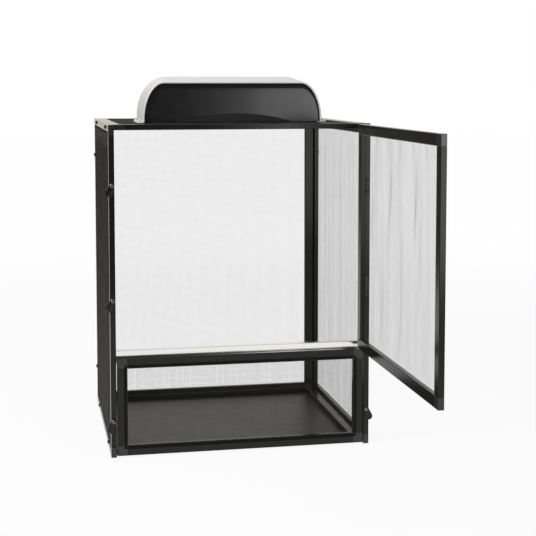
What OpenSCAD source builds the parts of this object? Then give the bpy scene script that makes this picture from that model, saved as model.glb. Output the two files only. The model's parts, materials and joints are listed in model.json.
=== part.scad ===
// Mesh reptile cage: bar-framed screen panels, an open main door, a lower flap door and a light hood on top.
// Millimetres. Origin: centre of the cage's footprint on the floor. +X right, +Y back, +Z up, doors face -Y.

/* [Cage] */
// Overall width over the two side panels
cage_w = 406; // [320:1:500]
// Overall depth from the doors' front to the back
cage_d = 356; // [300:1:500]
// Overall height of the panels
cage_h = 508; // [440:1:640]

/* [Bar] */
// Face width of the frame bar
bar_w = 16; // [15.5:0.5:20]
// Thickness of the frame bar
bar_t = 8.5; // [7.5:0.25:9]
// Wall of the hollow bar
bar_wall = 1.2; // [0.9:0.1:1.5]
// Width of the lip on the mesh side of the groove
lip_w = 2.3; // [1.8:0.1:3]
// Width of the spline groove
groove_w = 3; // [2.6:0.1:3.6]
// Depth of the spline groove
groove_d = 3.2; // [2.8:0.1:3.8]
// Gap between a bar's end and its corner block
end_gap = 0.2; // [0.1:0.05:0.5]

/* [Corner blocks] */
// Length of a corner block's leg inside the bar
leg_len = 22; // [12:1:26]
// Clearance around a leg in its bar
leg_fit = 0.15; // [0.05:0.05:0.4]

/* [Mesh and spline] */
// Thickness of the mesh sheet
mesh_t = 0.6; // [0.3:0.1:0.8]
// Depth of the mesh below the bar's face
mesh_sink = 0.3; // [0.1:0.1:0.8]
// Clearance of the mesh hem in the groove
mesh_fit = 0.1; // [0.05:0.05:0.2]
// Openings along the longer side of a mesh, a coarse stand-in for its weave
mesh_cells = 12; // [6:1:12]
// Width of the strands between those openings
strand_w = 3; // [2:0.5:6]
// Clearance of the spline cord in the groove
spline_fit = 0.1; // [0.05:0.05:0.2]

/* [Floor] */
// Thickness of the floor sheet under the base panel
floor_t = 2; // [1.6:0.2:4]
// Clearance of the floor sheet to the panels around it
floor_fit = 0.3; // [0.1:0.1:1]
// Screws along each edge of the floor sheet
floor_screws_per_edge = 3; // [2:1:6]
// Shank radius of the floor screws
floor_screw_r = 1.2; // [0.9:0.1:1.5]
// Head radius of the floor screws
floor_head_r = 2.6; // [2:0.1:3]
// Height of the floor screws' countersunk head
floor_head_h = 1.2; // [0.8:0.1:1.5]
// Length of the floor screws' tip inside the bar
floor_tip = 3; // [2:0.5:4]

/* [Doors] */
// Gap between a door and the side panel next to it
side_gap = 1.2; // [1:0.1:2]
// Gap under the lower door
sill_gap = 2.2; // [1:0.1:4]
// Height of the lower door
lower_door_h = 150.6; // [110:0.2:200]
// Gap between the two doors
mid_gap = 2.6; // [2.4:0.1:4]
// Gap between the main door's top and the cage's top
head_gap = 1; // [0.5:0.1:3]
// Gap between the doors and what stands behind them
back_gap = 2.2; // [1.4:0.1:2.4]
// Angle at which the main door stands open
door_open = 90; // [0:5:180]
// Radius of the lower door's pivot pins
pivot_r = 1.5; // [1:0.1:1.8]
// Distance of the pivot pins below the lower door's top edge
pivot_drop = 3.2; // [3:0.1:4]
// Length of a pivot pin inside its corner block
pivot_seat = 12; // [6:1:14]
// Length of a pivot pin's end beyond the side panel's inner wall
pivot_end = 2; // [1:0.1:3]
// Running clearance of the pins and rivets that turn
turn_fit = 0.08; // [0.02:0.01:0.1]

/* [Crossbar] */
// Height of the bar behind the meeting door edges
crossbar_h = 20; // [16:1:26]
// Depth of that bar
crossbar_d = 10; // [8:0.5:14]
// Wall of that bar
crossbar_wall = 1.2; // [0.8:0.1:2]
// Height of its top edge above the lower door
crossbar_rise = 10.5; // [8:0.5:14]
// Length of the plug in each of its ends
plug_len = 15; // [8:1:30]
// Clearance of the plug in the bar and of its peg in the side panel
plug_fit = 0.1; // [0.05:0.05:0.2]
// Radius of the plug's peg
peg_r = 1.4; // [1:0.1:1.6]
// Length of the peg inside the side panel
peg_len = 3.5; // [2:0.1:4]

/* [Hinges] */
// Distance between the two hinges
hinge_spread = 159; // [100:1:220]
// Length of a hinge
hinge_len = 30; // [26:1:50]
// Radius of the hinge knuckle
knuckle_r = 2.2; // [1.9:0.1:2.6]
// Length of the door leaf's middle knuckle
mid_knuckle = 10.4; // [6:0.2:13]
// Gap between knuckles, and between a knuckle and the bars
knuckle_gap = 0.2; // [0.1:0.05:0.4]
// Radius of the hinge pin
hinge_pin_r = 0.9; // [0.6:0.1:1.1]
// Thickness of a hinge leaf
leaf_t = 0.8; // [0.6:0.1:1]
// Width of a hinge leaf's plate
leaf_w = 5.8; // [5.2:0.1:6.4]
// Distance between a leaf's two fasteners
leaf_pitch = 17; // [12:1:20]
// Shank radius of a leaf's fasteners
leaf_screw_r = 1.1; // [0.8:0.1:1.4]
// Head radius of a leaf's fasteners
leaf_head_r = 2.2; // [1.8:0.1:2.5]
// Head height of a leaf's fasteners
leaf_head_h = 1; // [0.6:0.1:1.4]
// Shank length of the screws in the side panel
leaf_screw_len = 7; // [4:0.5:9]
// Tail radius of the door leaf's rivets
leaf_tail_r = 1.8; // [1.4:0.1:2.2]
// Cap radius of the hinge pin
pin_cap_r = 1.6; // [1.2:0.1:2]
// Cap height of the hinge pin
pin_cap_h = 0.7; // [0.4:0.1:1.2]

/* [Turn latches] */
// Distance of the upper latch below the cage's top
upper_latch_drop = 91; // [80:1:130]
// Height of the lower latch on the main door's free side
lower_latch_z = 242; // [220:1:300]
// Height of the two catches of the lower door
catch_z = 56; // [50:1:90]
// Thickness of a latch
latch_t = 2.2; // [1.6:0.1:3.5]
// Radius of a latch's eye
latch_eye_r = 4; // [3.4:0.1:4.2]
// Radius of a latch's paddle
latch_paddle_r = 5.7; // [4.5:0.1:6.5]
// Distance from the pivot to the middle of the paddle
latch_reach = 12.3; // [10:0.1:16]
// Angle through which a latch is turned away from the door
latch_open = 110; // [100:1:120]
// Gap between a latch and the faces behind and before it
latch_gap = 0.4; // [0.2:0.1:0.8]
// Shank radius of a latch's rivet
rivet_r = 1.6; // [1.2:0.1:1.9]
// Head radius of a latch's rivet
rivet_head_r = 3.2; // [2.6:0.1:3.6]
// Head height of a latch's rivet
rivet_head_h = 1.6; // [1:0.1:2.4]
// Tail radius of a latch's rivet
rivet_tail_r = 2.2; // [2:0.1:2.6]
// Tail height of every rivet
rivet_tail_h = 1.4; // [0.8:0.1:2]

/* [Panel screws] */
// Shank radius of the panel screws
screw_r = 1.25; // [1:0.05:1.5]
// Head radius of the panel screws
screw_head_r = 3; // [2.5:0.1:3.4]
// Head height of the panel screws
screw_head_h = 1.8; // [1.2:0.1:2.4]
// Distance of the panel screws from the middle of the panel that they hold, away from its outer face
screw_shift = 1; // [0:0.1:1.5]
// Distance of the panel screws from the side panel's corners
screw_end = 64; // [50:1:110]
// Length of the screw's tip inside the panel that it holds
screw_tip = 3; // [2:0.5:6]
// Clearance of a fixed screw, rivet or pin in its hole
screw_fit = 0.05; // [0.02:0.01:0.1]

/* [Light hood] */
// Width of the hood at its base
hood_w = 294; // [260:1:330]
// Depth of the hood
hood_d = 72; // [66:1:140]
// Height of the hood over its feet
hood_h = 73; // [70:1:90]
// Distance of the hood behind the doors' front
hood_set = 78; // [40:1:120]
// Width of the hood's rounded upper corners
hood_corner_w = 48; // [36:1:56]
// Height of those corners
hood_corner_h = 60; // [44:1:64]
// Wall of the hood's shell
hood_wall = 2.5; // [1.6:0.1:3.5]
// Width of the rim at each end of the shell
hood_rim = 5; // [4:0.5:10]
// Depth of that rim
hood_rim_d = 4; // [3:0.5:6]
// Depth of a face panel below the rim's edge
panel_set = 1; // [0.5:0.1:2]
// Thickness of the flange behind the rim
panel_flange_t = 2; // [1.5:0.1:3]
// Clearance of the hood's inner pieces
hood_fit = 0.4; // [0.2:0.1:0.8]
// Width of the shallow arch in the front panel
arch_w = 189; // [120:1:210]
// Height of that arch
arch_h = 12.5; // [8:0.5:16]
// Depth of that arch
arch_depth = 1; // [0.5:0.1:1.5]
// Length of the ledges on the panels' inner faces
ledge_len = 250; // [200:1:255]
// Depth of those ledges
ledge_d = 4; // [3:0.5:6]
// Thickness of those ledges
ledge_t = 2; // [1.5:0.1:3]
// Height of the lower ledge over the shell's bottom edge
ledge_low = 3; // [2:0.5:6]
// Height of the upper ledge over the shell's bottom edge
ledge_high = 24; // [20:1:28]
// Thickness of the diffuser sheet
diffuser_t = 2; // [1:0.1:3]
// Thickness of the reflector sheet
reflector_t = 1.2; // [0.8:0.1:2]
// Height of the reflector's crown over its feet
reflector_h = 24; // [14:1:28]
// Width of the reflector's flat crown
reflector_crown = 32; // [26:1:40]
// Distance of the reflector's ends from the ledges' ends
reflector_inset = 2; // [1:0.5:6]
// Width of the LED board
board_w = 24; // [20:1:26]
// Length of the LED board
board_len = 238; // [190:1:244]
// Thickness of the LED board
board_t = 1.6; // [1:0.1:2.4]
// Side of an LED
led_side = 5; // [3:0.5:7]
// Thickness of an LED
led_t = 0.8; // [0.5:0.1:1.5]
// LEDs in each of the two rows
leds_per_row = 9; // [4:1:14]
// Distance of the outermost LEDs' middles from the board's ends
led_end = 7.5; // [5:0.5:20]
// Distance between the two rows of LEDs
led_row_gap = 11; // [8:1:14]
// Length of a foot along the hood's depth
foot_len = 14; // [8:1:20]
// Height of a foot's tab
foot_h = 4.5; // [3:0.5:7]
// Thickness of a foot's sole under the shell
foot_sole = 1.5; // [1:0.1:2.5]
// Reach of a foot beyond the shell
foot_out = 5; // [2:0.5:8]
// Reach of a foot's sole under the shell
foot_in = 6; // [4:0.5:9]
// Distance of a foot from the hood's front or back
foot_set = 6; // [5:1:20]
// Bore radius of the cord grommet
grommet_bore_r = 3; // [2:0.1:4]
// Wall of the cord grommet
grommet_wall = 1.2; // [0.8:0.1:2]
// Flange width of the cord grommet
grommet_flange = 2; // [1:0.1:3]
// Flange thickness of the cord grommet
grommet_flange_t = 1.5; // [1:0.1:2.5]
// Distance of the cord grommet from the hood's end
grommet_end = 45; // [36:0.5:80]
// Height of the cord grommet over the shell's bottom edge
grommet_z = 15; // [13:0.5:16]

/* [Hidden] */
$fn = 48;
eps = 0.5;

// The bar's section: u from the mesh side outwards, v from the inner face to the grooved face
groove_out = lip_w + groove_w;
lip_h = bar_t - mesh_sink - mesh_t;
chamber_u = groove_out + bar_wall;
chamber_w = bar_w - bar_wall - chamber_u;
chamber_h = bar_t - 2 * bar_wall;
spline_d = groove_w - mesh_fit - mesh_t - 2 * spline_fit;
spline_u = lip_w + mesh_fit + mesh_t + spline_fit + spline_d / 2;
spline_v = bar_t - groove_d + spline_fit + spline_d / 2;

// The panels between the side panels
inner_w = cage_w - 2 * bar_t;
front_y = -cage_d / 2;
inner_front_y = front_y + bar_t + back_gap;
inner_back_y = cage_d / 2 - bar_t;
inner_d = inner_back_y - inner_front_y;
inner_mid_y = (inner_front_y + inner_back_y) / 2;
base_z = floor_t;
floor_screw_len = floor_t + bar_wall + floor_tip;

// The doors, in their closed places
door_w = inner_w - 2 * side_gap;
lower_door_top = sill_gap + lower_door_h;
main_door_z = lower_door_top + mid_gap;
main_door_h = cage_h - head_gap - main_door_z;
pivot_y = front_y + bar_t / 2;
pivot_z = lower_door_top - pivot_drop;
pivot_tip = bar_wall + pivot_end;

// The crossbar and its pegs
crossbar_top = lower_door_top + crossbar_rise;
crossbar_mid_z = crossbar_top - crossbar_h / 2;
plug_play = crossbar_wall + plug_fit;
peg_y = (inner_front_y + plug_play + front_y + bar_w) / 2;

// The hinges
hinge_x = inner_w / 2 - side_gap / 2;
hinge_y = front_y - knuckle_r - knuckle_gap / 2;
hinge_mid_z = main_door_z + main_door_h / 2;
hinge_zs = [hinge_mid_z - hinge_spread / 2, hinge_mid_z + hinge_spread / 2];
leaf_start = knuckle_r + 2 * knuckle_gap;
leaf_mid = leaf_start + leaf_w / 2;
tongue_start = knuckle_r / 3;
end_knuckle = (hinge_len - mid_knuckle) / 2 - 2 * knuckle_gap;

// The latches turn in front of the side panels' front edges
latch_x = cage_w / 2 - bar_t / 2;
upper_latch_z = cage_h - upper_latch_drop;
latch_back_y = front_y - latch_gap;
latch_front_y = latch_back_y - latch_t;
latch_places = [[-1, upper_latch_z], [-1, lower_latch_z], [-1, catch_z], [1, catch_z]];

// Screws through a side panel, as [y, z], into the top, base and back panels
screw_inset = bar_t / 2 + screw_shift;
side_screws = [
    [front_y + screw_end, cage_h - screw_inset], [-front_y - screw_end, cage_h - screw_inset],
    [front_y + screw_end, base_z + screw_inset], [-front_y - screw_end, base_z + screw_inset],
    [-front_y - screw_inset, screw_end], [-front_y - screw_inset, cage_h - screw_end]];
screw_len = bar_t + bar_wall + screw_tip;

// The hood's own heights are counted from its shell's bottom edge
hood_y = front_y + hood_set;
hood_z = cage_h + foot_sole;
shell_h = hood_h - foot_sole;
corner_z = shell_h - hood_corner_h;
corner_x = hood_w / 2 - hood_corner_w;
flange_front = hood_rim_d + panel_flange_t;
ledge_reach = hood_d / 2 - flange_front - ledge_d;
arch_r = (arch_w * arch_w / 4 + arch_h * arch_h) / (2 * arch_h);
reflector_z = ledge_high + ledge_t;
crown_z = reflector_z + reflector_h;
reflector_len = ledge_len - 2 * reflector_inset;
grommet_r = grommet_bore_r + grommet_wall;
grommet_x = hood_w / 2 - grommet_end;
grommet_len = hood_rim_d - panel_set + panel_flange_t;

function arc(c, r, from, to, steps) =
    [for (i = [0 : steps]) let (a = from + (to - from) * i / steps) c + [r[0] * cos(a), r[1] * sin(a)]];

// Outline of the hood across its width, drawn in by inset and cut off at height low
function hood_outline(inset, low) = let (r = [hood_corner_w - inset, hood_corner_h - inset]) concat(
    [[inset - hood_w / 2, low], [hood_w / 2 - inset, low]],
    arc([corner_x, corner_z], r, 0, 90, 16),
    arc([-corner_x, corner_z], r, 90, 180, 16));

// Panels are drawn flat about their middle, with the inner face at z = 0 and the grooved face up
module bar_profile() {
    difference() {
        polygon([[0, 0], [bar_w, 0], [bar_w, bar_t], [groove_out, bar_t], [groove_out, bar_t - groove_d],
            [lip_w, bar_t - groove_d], [lip_w, lip_h], [0, lip_h]]);
        translate([chamber_u, bar_wall]) square([chamber_w, chamber_h]);
    }
}

module bar_pair(len, span) {
    for (turn = [0, 180]) {
        rotate(turn) translate([-len / 2, span / 2 - bar_w, 0])
            rotate([90, 0, 90]) linear_extrude(len) bar_profile();
    }
}

module panel_rails(w, h) {
    bar_pair(w - 2 * bar_w - 2 * end_gap, h);
}

module panel_stiles(w, h) {
    rotate(90) bar_pair(h - 2 * bar_w - 2 * end_gap, w);
}

// A corner block with its outer corner at the origin and a leg into each of its two bars
module corner_block() {
    root = 2;
    leg_w = chamber_w - 2 * leg_fit;
    leg_h = chamber_h - 2 * leg_fit;
    leg_at = bar_wall + leg_fit;
    groove_at = bar_w - groove_out;
    difference() {
        cube([bar_w, bar_w, bar_t]);
        translate([groove_at, groove_at, lip_h]) cube([groove_out + eps, groove_out + eps, bar_t]);
        translate([groove_at, groove_at, bar_t - groove_d]) cube([groove_out + eps, groove_w, bar_t]);
        translate([groove_at, groove_at, bar_t - groove_d]) cube([groove_w, groove_out + eps, bar_t]);
    }
    translate([bar_w - root, leg_at, leg_at]) cube([leg_len + root, leg_w, leg_h]);
    translate([leg_at, bar_w - root, leg_at]) cube([leg_w, leg_len + root, leg_h]);
}

module panel_corner_blocks(w, h) {
    for (turn = [0, 180]) {
        rotate(turn) translate([-w / 2, -h / 2, 0]) corner_block();
        rotate(turn + 90) translate([-h / 2, -w / 2, 0]) corner_block();
    }
}

// Openings of a mesh between the bars' lips, all of one size
module mesh_openings(clear_w, clear_h) {
    pitch = max(clear_w, clear_h) / mesh_cells;
    across = max(1, round(clear_w / pitch));
    up = max(1, round(clear_h / pitch));
    hole_w = clear_w / across - strand_w;
    hole_h = clear_h / up - strand_w;
    for (i = [0 : across - 1], j = [0 : up - 1]) {
        x = (i + 0.5 - across / 2) * clear_w / across;
        y = (j + 0.5 - up / 2) * clear_h / up;
        translate([x - hole_w / 2, y - hole_h / 2, lip_h - eps]) cube([hole_w, hole_h, mesh_t + 2 * eps]);
    }
}

// The mesh lies on the lips and its hem is turned down into the groove
module panel_mesh(w, h) {
    edge = 2 * (bar_w - lip_w - mesh_fit - mesh_t);
    hem_low = bar_t - groove_d + mesh_fit;
    hem_h = lip_h - hem_low;
    difference() {
        translate([-(w - edge) / 2, -(h - edge) / 2, hem_low]) cube([w - edge, h - edge, hem_h + mesh_t]);
        translate([-(w - edge) / 2 + mesh_t, -(h - edge) / 2 + mesh_t, hem_low - eps])
            cube([w - edge - 2 * mesh_t, h - edge - 2 * mesh_t, hem_h + eps]);
        mesh_openings(w - 2 * bar_w, h - 2 * bar_w);
    }
}

module panel_spline(w, h) {
    side = w / 2 - bar_w + spline_u;
    rise = h / 2 - bar_w + spline_u;
    long_len = 2 * side + spline_d;
    short_len = 2 * rise - spline_d - 2 * spline_fit;
    for (s = [-1, 1]) {
        translate([-long_len / 2, s * rise, spline_v]) rotate([0, 90, 0])
            cylinder(h = long_len, d = spline_d);
        translate([s * side, short_len / 2, spline_v]) rotate([90, 0, 0])
            cylinder(h = short_len, d = spline_d);
    }
}

// Where each panel stands in the cage
module on_left() {
    translate([-inner_w / 2, 0, cage_h / 2]) rotate([90, 0, 270]) children();
}

module on_right() {
    translate([inner_w / 2, 0, cage_h / 2]) rotate([90, 0, 90]) children();
}

module on_back() {
    translate([0, inner_back_y, cage_h / 2]) rotate([90, 0, 180]) children();
}

module on_top() {
    translate([0, inner_mid_y, cage_h - bar_t]) children();
}

module on_base() {
    translate([0, inner_mid_y, base_z + bar_t]) rotate([180, 0, 0]) children();
}

module on_lower_door() {
    translate([0, front_y + bar_t, sill_gap + lower_door_h / 2]) rotate([90, 0, 0]) children();
}

module on_main_door() {
    translate([0, front_y + bar_t, main_door_z + main_door_h / 2]) rotate([90, 0, 0]) children();
}

module opened() {
    translate([hinge_x, hinge_y, 0]) rotate([0, 0, door_open]) translate([-hinge_x, -hinge_y, 0]) children();
}

// Fasteners point down from z = 0, with the head above
module dome(r, h) {
    ball = (r * r + h * h) / (2 * h);
    intersection() {
        translate([0, 0, h - ball]) sphere(ball);
        cylinder(h = h + eps, r = r + eps);
    }
}

module pan_screw(r, len, head_r, head_h) {
    slot_w = head_r * 0.3;
    slot_len = head_r * 1.1;
    translate([0, 0, -len]) cylinder(h = len + head_h / 4, r = r);
    difference() {
        union() {
            cylinder(h = head_h / 2, r = head_r);
            translate([0, 0, head_h / 2]) cylinder(h = head_h / 2, r1 = head_r, r2 = head_r * 0.7);
        }
        translate([-slot_w / 2, -slot_len / 2, head_h / 2]) cube([slot_w, slot_len, head_h]);
        translate([-slot_len / 2, -slot_w / 2, head_h / 2]) cube([slot_len, slot_w, head_h]);
    }
}

// A rivet through a stack of thickness grip, with a domed head and a set tail behind it
module rivet(r, grip, head_r, head_h, tail_r, tail_h) {
    translate([0, 0, -grip - tail_h]) cylinder(h = tail_h, r = tail_r);
    translate([0, 0, -grip - tail_h / 2]) cylinder(h = grip + tail_h / 2 + head_h / 4, r = r);
    dome(head_r, head_h);
}

// Holes that the fasteners, pins and pegs need
module side_screw_bores(s) {
    for (p = side_screws) {
        translate([s * (cage_w / 2 + eps), p[0], p[1]]) rotate([0, -90 * s, 0])
            cylinder(h = screw_len + 2 * eps, r = screw_r + screw_fit);
    }
}

module latch_rivet_bores() {
    for (p = latch_places) {
        translate([p[0] * latch_x, front_y + bar_wall + eps, p[1]]) rotate([90, 0, 0])
            cylinder(h = bar_wall + 2 * eps, r = rivet_r + screw_fit);
    }
}

module pivot_bores() {
    len = pivot_seat + side_gap + pivot_tip;
    for (s = [-1, 1]) {
        translate([s * (door_w / 2 - pivot_seat - screw_fit), pivot_y, pivot_z]) rotate([0, 90 * s, 0])
            cylinder(h = len, r = pivot_r + turn_fit);
    }
}

module peg_bores() {
    for (s = [-1, 1]) {
        translate([s * (inner_w / 2 - eps), peg_y, crossbar_mid_z]) rotate([0, 90 * s, 0])
            cylinder(h = peg_len + eps + plug_fit, r = peg_r + plug_fit);
    }
}

module at_hinge_fasteners(x, y) {
    for (z = hinge_zs, s = [-1, 1]) {
        translate([x, y, z + s * leaf_pitch / 2]) rotate([90, 0, 0]) children();
    }
}

module frame_leaf_bores() {
    at_hinge_fasteners(hinge_x + leaf_mid, front_y) translate([0, 0, -bar_wall - eps])
        cylinder(h = bar_wall + leaf_t + 2 * eps, r = leaf_screw_r + screw_fit);
}

module door_leaf_bores() {
    at_hinge_fasteners(hinge_x - leaf_mid, front_y) translate([0, 0, -bar_wall - eps])
        cylinder(h = bar_wall + leaf_t + 2 * eps, r = leaf_screw_r + screw_fit);
}

// Left side panel
module left_stiles() {
    color("#1b1b1d") difference() {
        on_left() panel_stiles(cage_d, cage_h);
        side_screw_bores(-1);
        latch_rivet_bores();
        pivot_bores();
        peg_bores();
    }
}

module left_rails() {
    color("#1b1b1d") difference() {
        on_left() panel_rails(cage_d, cage_h);
        side_screw_bores(-1);
    }
}

module left_corner_blocks() {
    color("#2a2a2c") on_left() panel_corner_blocks(cage_d, cage_h);
}

module left_mesh() {
    color("#55585a") on_left() panel_mesh(cage_d, cage_h);
}

module left_spline() {
    color("#151515") on_left() panel_spline(cage_d, cage_h);
}

// Right side panel
module right_stiles() {
    color("#1b1b1d") difference() {
        on_right() panel_stiles(cage_d, cage_h);
        side_screw_bores(1);
        latch_rivet_bores();
        pivot_bores();
        peg_bores();
        frame_leaf_bores();
    }
}

module right_rails() {
    color("#1b1b1d") difference() {
        on_right() panel_rails(cage_d, cage_h);
        side_screw_bores(1);
    }
}

module right_corner_blocks() {
    color("#2a2a2c") on_right() panel_corner_blocks(cage_d, cage_h);
}

module right_mesh() {
    color("#55585a") on_right() panel_mesh(cage_d, cage_h);
}

module right_spline() {
    color("#151515") on_right() panel_spline(cage_d, cage_h);
}

// Back panel
module back_stiles() {
    color("#1b1b1d") difference() {
        on_back() panel_stiles(inner_w, cage_h);
        side_screw_bores(-1);
        side_screw_bores(1);
    }
}

module back_rails() {
    color("#1b1b1d") on_back() panel_rails(inner_w, cage_h);
}

module back_corner_blocks() {
    color("#2a2a2c") on_back() panel_corner_blocks(inner_w, cage_h);
}

module back_mesh() {
    color("#55585a") on_back() panel_mesh(inner_w, cage_h);
}

module back_spline() {
    color("#151515") on_back() panel_spline(inner_w, cage_h);
}

// Top panel
module top_stiles() {
    color("#1b1b1d") difference() {
        on_top() panel_stiles(inner_w, inner_d);
        side_screw_bores(-1);
        side_screw_bores(1);
    }
}

module top_rails() {
    color("#1b1b1d") on_top() panel_rails(inner_w, inner_d);
}

module top_corner_blocks() {
    color("#2a2a2c") on_top() panel_corner_blocks(inner_w, inner_d);
}

module top_mesh() {
    color("#55585a") on_top() panel_mesh(inner_w, inner_d);
}

module top_spline() {
    color("#151515") on_top() panel_spline(inner_w, inner_d);
}

// Base panel, with the floor sheet screwed under it
module at_floor_screws() {
    edge = (bar_w - groove_out) / 2;
    span_x = inner_w / 2 - edge;
    span_y = inner_d / 2 - edge;
    reach_x = inner_w - 2 * (bar_w + leg_len + 2 * floor_head_r);
    reach_y = inner_d - 2 * (bar_w + leg_len + 2 * floor_head_r);
    for (i = [0 : floor_screws_per_edge - 1], s = [-1, 1]) {
        part = i / (floor_screws_per_edge - 1) - 0.5;
        translate([part * reach_x, inner_mid_y + s * span_y, 0]) children();
        translate([s * span_x, inner_mid_y + part * reach_y, 0]) children();
    }
}

module floor_screw(grow) {
    translate([0, 0, screw_fit]) {
        cylinder(h = floor_head_h, r1 = floor_head_r + grow, r2 = floor_screw_r + grow);
        cylinder(h = floor_screw_len, r = floor_screw_r + grow);
    }
}

module floor_screw_bores() {
    at_floor_screws() floor_screw(screw_fit);
    at_floor_screws() translate([0, 0, -eps]) cylinder(h = 2 * eps, r = floor_head_r + screw_fit);
}

module base_stiles() {
    color("#1b1b1d") difference() {
        on_base() panel_stiles(inner_w, inner_d);
        side_screw_bores(-1);
        side_screw_bores(1);
        floor_screw_bores();
    }
}

module base_rails() {
    color("#1b1b1d") difference() {
        on_base() panel_rails(inner_w, inner_d);
        floor_screw_bores();
    }
}

module base_corner_blocks() {
    color("#2a2a2c") on_base() panel_corner_blocks(inner_w, inner_d);
}

module floor_sheet() {
    color("#202022") difference() {
        translate([-inner_w / 2 + floor_fit, inner_front_y + floor_fit, 0])
            cube([inner_w - 2 * floor_fit, inner_d - 2 * floor_fit, floor_t]);
        floor_screw_bores();
    }
}

module floor_screws() {
    color("#8d9093") at_floor_screws() floor_screw(0);
}

// Crossbar behind the meeting edges of the doors, pegged into the side panels
module mid_crossbar() {
    low = crossbar_top - crossbar_h;
    color("#dfe1e2") difference() {
        translate([-inner_w / 2, inner_front_y, low]) cube([inner_w, crossbar_d, crossbar_h]);
        translate([-inner_w / 2 - eps, inner_front_y + crossbar_wall, low + crossbar_wall])
            cube([inner_w + 2 * eps, crossbar_d - 2 * crossbar_wall, crossbar_h - 2 * crossbar_wall]);
    }
}

module crossbar_plugs() {
    low = crossbar_top - crossbar_h + plug_play;
    color("#2a2a2c") for (s = [0, 1]) {
        mirror([s, 0, 0]) {
            translate([inner_w / 2 - plug_len, inner_front_y + plug_play, low])
                cube([plug_len, crossbar_d - 2 * plug_play, crossbar_h - 2 * plug_play]);
            translate([inner_w / 2 - plug_len / 2, peg_y, crossbar_mid_z])
                rotate([0, 90, 0]) cylinder(h = plug_len / 2 + peg_len, r = peg_r);
        }
    }
}

// Screws through the side panels
module panel_screws(s) {
    for (p = side_screws) {
        translate([s * cage_w / 2, p[0], p[1]]) rotate([0, 90 * s, 0])
            pan_screw(screw_r, screw_len, screw_head_r, screw_head_h);
    }
}

module left_panel_screws() {
    color("#3a3a3c") panel_screws(-1);
}

module right_panel_screws() {
    color("#3a3a3c") panel_screws(1);
}

// Main door, standing open on its hinges
module main_door_stiles() {
    color("#1b1b1d") opened() difference() {
        on_main_door() panel_stiles(door_w, main_door_h);
        door_leaf_bores();
    }
}

module main_door_rails() {
    color("#1b1b1d") opened() on_main_door() panel_rails(door_w, main_door_h);
}

module main_door_corner_blocks() {
    color("#3c3c3e") opened() on_main_door() panel_corner_blocks(door_w, main_door_h);
}

module main_door_mesh() {
    color("#55585a") opened() on_main_door() panel_mesh(door_w, main_door_h);
}

module main_door_spline() {
    color("#151515") opened() on_main_door() panel_spline(door_w, main_door_h);
}

// Butt hinges: each leaf is a plate with tongues rolled into knuckles round the pin
module knuckle(z, len) {
    translate([hinge_x, hinge_y, z]) cylinder(h = len, r = knuckle_r);
}

module tongue(s, z, len) {
    wide = leaf_start - tongue_start + eps;
    translate([hinge_x + s * tongue_start - (s < 0 ? wide : 0), front_y - leaf_t, z])
        cube([wide, leaf_t, len]);
}

module leaf_plate(s, z) {
    translate([hinge_x + s * leaf_start - (s < 0 ? leaf_w : 0), front_y - leaf_t, z - hinge_len / 2])
        cube([leaf_w, leaf_t, hinge_len]);
}

module hinge_pin_bore(z) {
    translate([hinge_x, hinge_y, z - hinge_len]) cylinder(h = 2 * hinge_len, r = hinge_pin_r + turn_fit);
}

module door_hinge_leaves() {
    color("#4a4a4c") opened() difference() {
        for (z = hinge_zs) {
            leaf_plate(-1, z);
            tongue(-1, z - mid_knuckle / 2, mid_knuckle);
            knuckle(z - mid_knuckle / 2, mid_knuckle);
        }
        for (z = hinge_zs) hinge_pin_bore(z);
        door_leaf_bores();
    }
}

module frame_hinge_leaves() {
    color("#4a4a4c") difference() {
        for (z = hinge_zs) {
            leaf_plate(1, z);
            for (low = [z - hinge_len / 2, z + hinge_len / 2 - end_knuckle]) {
                tongue(1, low, end_knuckle);
                knuckle(low, end_knuckle);
            }
        }
        for (z = hinge_zs) hinge_pin_bore(z);
        frame_leaf_bores();
    }
}

module door_hinge_rivets() {
    color("#77797b") opened() at_hinge_fasteners(hinge_x - leaf_mid, front_y - leaf_t)
        rivet(leaf_screw_r, leaf_t + bar_wall, leaf_head_r, leaf_head_h, leaf_tail_r, rivet_tail_h);
}

module frame_hinge_screws() {
    color("#77797b") at_hinge_fasteners(hinge_x + leaf_mid, front_y - leaf_t)
        pan_screw(leaf_screw_r, leaf_screw_len, leaf_head_r, leaf_head_h);
}

module hinge_pins() {
    len = hinge_len + pin_cap_h;
    color("#77797b") for (z = hinge_zs) {
        translate([hinge_x, hinge_y, z - len / 2]) cylinder(h = len, r = hinge_pin_r);
        translate([hinge_x, hinge_y, z + hinge_len / 2]) dome(pin_cap_r, pin_cap_h);
        translate([hinge_x, hinge_y, z - hinge_len / 2]) mirror([0, 0, 1]) dome(pin_cap_r, pin_cap_h);
    }
}

// Lower door, a flap that hangs on two pins in its top corners
module lower_door_stiles() {
    color("#1b1b1d") on_lower_door() panel_stiles(door_w, lower_door_h);
}

module lower_door_rails() {
    color("#1b1b1d") on_lower_door() panel_rails(door_w, lower_door_h);
}

module lower_door_corner_blocks() {
    color("#2a2a2c") difference() {
        on_lower_door() panel_corner_blocks(door_w, lower_door_h);
        pivot_bores();
    }
}

module lower_door_mesh() {
    color("#55585a") on_lower_door() panel_mesh(door_w, lower_door_h);
}

module lower_door_spline() {
    color("#151515") on_lower_door() panel_spline(door_w, lower_door_h);
}

module lower_door_pivot_pins() {
    color("#8d9093") for (s = [-1, 1]) {
        translate([s * (door_w / 2 - pivot_seat), pivot_y, pivot_z]) rotate([0, 90 * s, 0])
            cylinder(h = pivot_seat + side_gap + pivot_tip - 2 * screw_fit, r = pivot_r);
    }
}

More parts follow.
